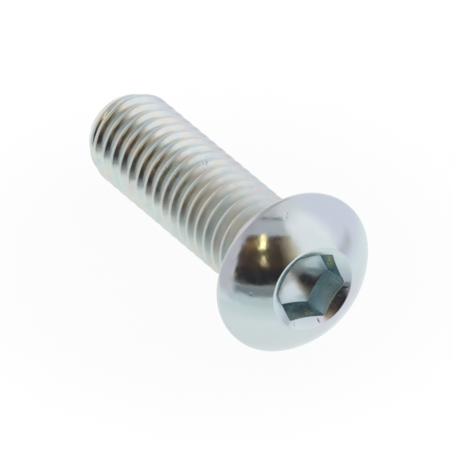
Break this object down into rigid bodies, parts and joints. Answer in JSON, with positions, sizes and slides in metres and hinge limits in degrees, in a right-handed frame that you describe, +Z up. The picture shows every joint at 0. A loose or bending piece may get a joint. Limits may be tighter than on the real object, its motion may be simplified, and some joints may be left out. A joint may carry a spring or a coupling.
{
  "type": "button head screw",
  "caption": "Metric machine screw with a low domed head, a countersunk hex drive socket, a right-hand thread run out under the head and a tapered tip, zinc plated.",
  "frame": {"origin": "bottom centre of the bounding box of the screw lying at rest, on the surface it lies on", "axes": "+X runs along the screw as it lies, toward the head; +Z is up; the screw's own axis climbs toward the head by the resting tilt, because the head is wider than the thread"},
  "size_m": [0.023, 0.0104, 0.0105],
  "materials": {
    "zinc_plated_steel": "bright zinc plate with a clear passivation that leaves faint yellow, pink and blue-green tints"
  },
  "bodies": {
    "root": {"screw": "zinc_plated_steel"}
  },
  "joints": []
}
